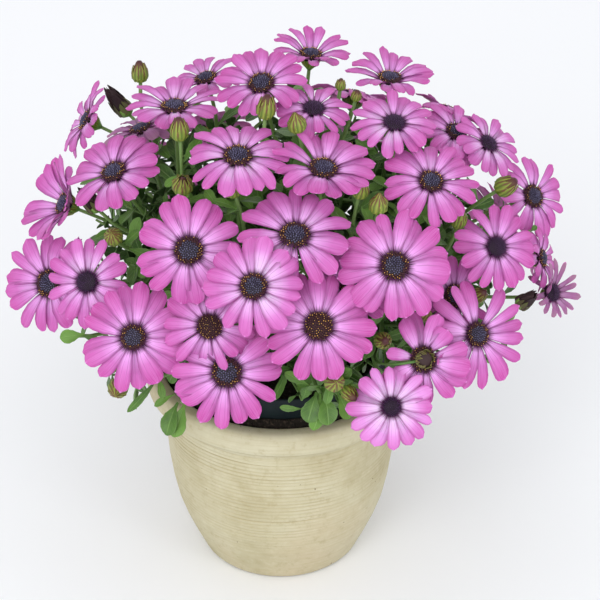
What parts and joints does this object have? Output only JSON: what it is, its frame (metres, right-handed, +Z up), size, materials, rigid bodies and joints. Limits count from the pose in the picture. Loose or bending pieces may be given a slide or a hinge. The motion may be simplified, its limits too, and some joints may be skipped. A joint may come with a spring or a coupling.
{
  "type": "potted osteospermum",
  "caption": "Domed bush of pink-purple daisy blooms with dark blue-violet discs and toothed leaves, growing in a round stoneware pot with a plain collar.",
  "frame": {"origin": "middle of the pot's foot, on the surface that it stands on", "axes": "+Z up along the pot's axis, -Y towards the side that the bush shows, +X to the right seen from there"},
  "size_m": [0.3554, 0.3057, 0.3512],
  "materials": {
    "stoneware": "satin",
    "black_plastic": "satin",
    "compost": "matte",
    "leaf_green": "satin",
    "petal_pink": "satin"
  },
  "bodies": {
    "root": {"pot": "stoneware", "nursery_pot": "black_plastic", "packing_compost": "compost", "compost": "compost", "leafy_stem_1": "leaf_green", "leafy_stem_2": "leaf_green", "leafy_stem_3": "leaf_green", "leafy_stem_4": "leaf_green", "leafy_stem_5": "leaf_green", "leafy_stem_6": "leaf_green", "leafy_stem_7": "leaf_green", "leafy_stem_8": "leaf_green", "bloom_01": "petal_pink", "bloom_02": "petal_pink", "bloom_03": "petal_pink", "bloom_04": "petal_pink", "bloom_05": "petal_pink", "bloom_06": "petal_pink", "bloom_07": "petal_pink", "bloom_08": "petal_pink", "bloom_09": "petal_pink", "bloom_10": "petal_pink", "bloom_11": "petal_pink", "bloom_12": "petal_pink", "bloom_13": "petal_pink", "bloom_14": "petal_pink", "bloom_15": "petal_pink", "bloom_16": "petal_pink", "bloom_17": "petal_pink", "bloom_18": "petal_pink", "bloom_19": "petal_pink", "bloom_20": "petal_pink", "bloom_21": "petal_pink", "bloom_22": "petal_pink", "bloom_23": "petal_pink", "bloom_24": "petal_pink", "bloom_25": "petal_pink", "bloom_26": "petal_pink", "bloom_27": "petal_pink", "bloom_28": "petal_pink", "bloom_29": "petal_pink", "bloom_30": "petal_pink", "bloom_31": "petal_pink", "bloom_32": "petal_pink", "bloom_33": "petal_pink", "bloom_34": "petal_pink", "bloom_35": "petal_pink", "bloom_36": "petal_pink", "bloom_37": "petal_pink", "bloom_38": "petal_pink", "bloom_39": "petal_pink", "bloom_40": "petal_pink", "bloom_41": "petal_pink", "bloom_42": "petal_pink", "bloom_43": "petal_pink", "bloom_44": "petal_pink", "bloom_45": "petal_pink", "bloom_46": "petal_pink", "bloom_47": "petal_pink", "bloom_48": "petal_pink"}
  },
  "joints": []
}
